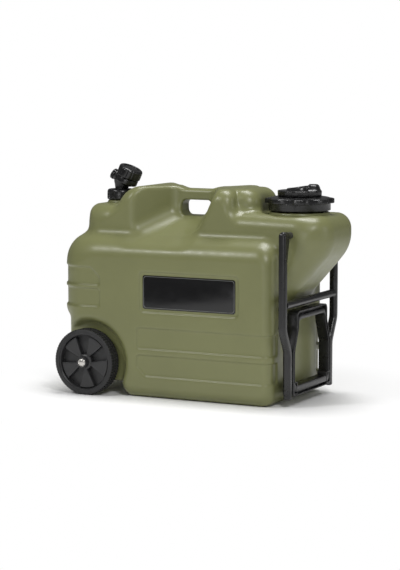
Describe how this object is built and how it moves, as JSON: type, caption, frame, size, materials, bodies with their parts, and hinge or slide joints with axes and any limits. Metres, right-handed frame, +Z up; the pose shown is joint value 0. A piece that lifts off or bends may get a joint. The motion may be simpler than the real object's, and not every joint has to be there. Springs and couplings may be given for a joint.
{
  "type": "rolling water carrier",
  "caption": "Rolling jerrycan-style water carrier with two wheels, a fold-out pull frame with grip ring, a wide filler cap with a small lid, and a tilted tap",
  "frame": {"origin": "middle of the whole box in plan, on the floor", "axes": "+X along the tank to the filler and pull frame, +Y to the back side, +Z up"},
  "size_m": [0.518, 0.2832, 0.4147],
  "materials": {
    "moulded_tank": "blow-moulded polyethylene with a faint satin sheen",
    "bare_label": "black film with a thin grey edge line",
    "plated_steel": "zinc-plated steel",
    "tyre_rubber": "soft tread band",
    "pale_bearing": "self-lubricating acetal",
    "seal_rubber": "moulded seal rubber",
    "black_wheel": "injection-moulded polypropylene",
    "black_tap": "glossy moulded black plastic",
    "black_cap": "half-gloss moulded black plastic",
    "black_frame": "half-gloss moulded black plastic"
  },
  "bodies": {
    "carrier": {"tank": "moulded_tank", "label_plate": "bare_label", "axle": "plated_steel", "washer_front": "plated_steel", "washer_back": "plated_steel", "hub_cap_front": "plated_steel", "hub_cap_back": "plated_steel", "pivot_bush_front": "pale_bearing", "pivot_bush_back": "pale_bearing", "tap_gasket": "seal_rubber"},
    "front_wheel": {"wheel_front": "black_wheel", "tyre_front": "tyre_rubber", "bush_front": "pale_bearing"},
    "back_wheel": {"wheel_back": "black_wheel", "tyre_back": "tyre_rubber", "bush_back": "pale_bearing"},
    "pull_frame": {"pull_arm_front": "black_frame", "pull_arm_back": "black_frame", "crossbar": "black_frame", "pivot_pin_front": "black_frame", "pivot_pin_back": "black_frame"},
    "ring": {"grip_ring": "black_frame", "ring_pin_front": "black_frame", "ring_pin_back": "black_frame"},
    "filler_seal": {"filler_gasket": "seal_rubber"},
    "big_cap": {"filler_cap": "black_cap"},
    "lid_seal": {"lid_gasket": "seal_rubber"},
    "small_cap": {"filler_lid": "black_cap"},
    "collar_slip": {"collar_washer": "plated_steel"},
    "collar": {"tap_collar": "black_tap"},
    "tap": {"tap_body": "black_tap", "spout_nozzle": "black_tap"},
    "valve": {"tap_spindle": "plated_steel", "spindle_ring": "seal_rubber", "valve_seal": "seal_rubber"},
    "knob": {"tap_knob": "black_tap", "knob_screw": "plated_steel"}
  },
  "joints": [
    {"name": "front_wheel_spin", "type": "hinge", "parent": "carrier", "child": "front_wheel", "pos_m": [-0.19, 0, 0.06], "axis": [0, 1, 0], "continuous": true},
    {"name": "back_wheel_spin", "type": "hinge", "parent": "carrier", "child": "back_wheel", "pos_m": [-0.19, 0, 0.06], "axis": [0, 1, 0], "continuous": true},
    {"name": "frame_swing", "type": "hinge", "parent": "carrier", "child": "pull_frame", "pos_m": [0.196, 0, 0.302], "axis": [0, -1, 0], "range_deg": [0, 115]},
    {"name": "ring_swing", "type": "hinge", "parent": "pull_frame", "child": "ring", "pos_m": [0.196, 0, 0.0275], "axis": [0, 1, 0], "range_deg": [0, 180]},
    {"name": "big_cap_lift", "type": "slide", "parent": "carrier", "child": "filler_seal", "axis": [0, 0, 1], "range_m": [0, 0.01201]},
    {"name": "big_cap_turn", "type": "hinge", "parent": "filler_seal", "child": "big_cap", "pos_m": [0.177, 0, 0.36], "axis": [0, 0, 1], "range_deg": [0, 720]},
    {"name": "small_cap_lift", "type": "slide", "parent": "big_cap", "child": "lid_seal", "axis": [0, 0, 1], "range_m": [0, 0.00601]},
    {"name": "small_cap_turn", "type": "hinge", "parent": "lid_seal", "child": "small_cap", "pos_m": [0.177, 0, 0.38], "axis": [0, 0, 1], "range_deg": [0, 540]},
    {"name": "collar_lift", "type": "slide", "parent": "carrier", "child": "collar_slip", "axis": [0, 0, 1], "range_m": [0, 0.00301]},
    {"name": "collar_turn", "type": "hinge", "parent": "collar_slip", "child": "collar", "pos_m": [-0.185, 0, 0.35], "axis": [0, 0, 1], "range_deg": [0, 360]},
    {"name": "tap_swivel", "type": "hinge", "parent": "carrier", "child": "tap", "pos_m": [-0.185, 0, 0.36], "axis": [0, 0, 1], "continuous": true},
    {"name": "valve_lift", "type": "slide", "parent": "tap", "child": "valve", "axis": [0.4067, 0, 0.9135], "range_m": [0, 0.00201]},
    {"name": "knob_turn", "type": "hinge", "parent": "valve", "child": "knob", "pos_m": [-0.1667, 0, 0.39511], "axis": [0.4067, 0, 0.9135], "range_deg": [0, 180]}
  ],
  "couplings": [
    {"joint": "big_cap_lift", "follows": "big_cap_turn", "m_per_rad": 0.00095493},
    {"joint": "small_cap_lift", "follows": "small_cap_turn", "m_per_rad": 0.00063662},
    {"joint": "collar_lift", "follows": "collar_turn", "m_per_rad": 0.00047746},
    {"joint": "valve_lift", "follows": "knob_turn", "m_per_rad": 0.00063662}
  ]
}
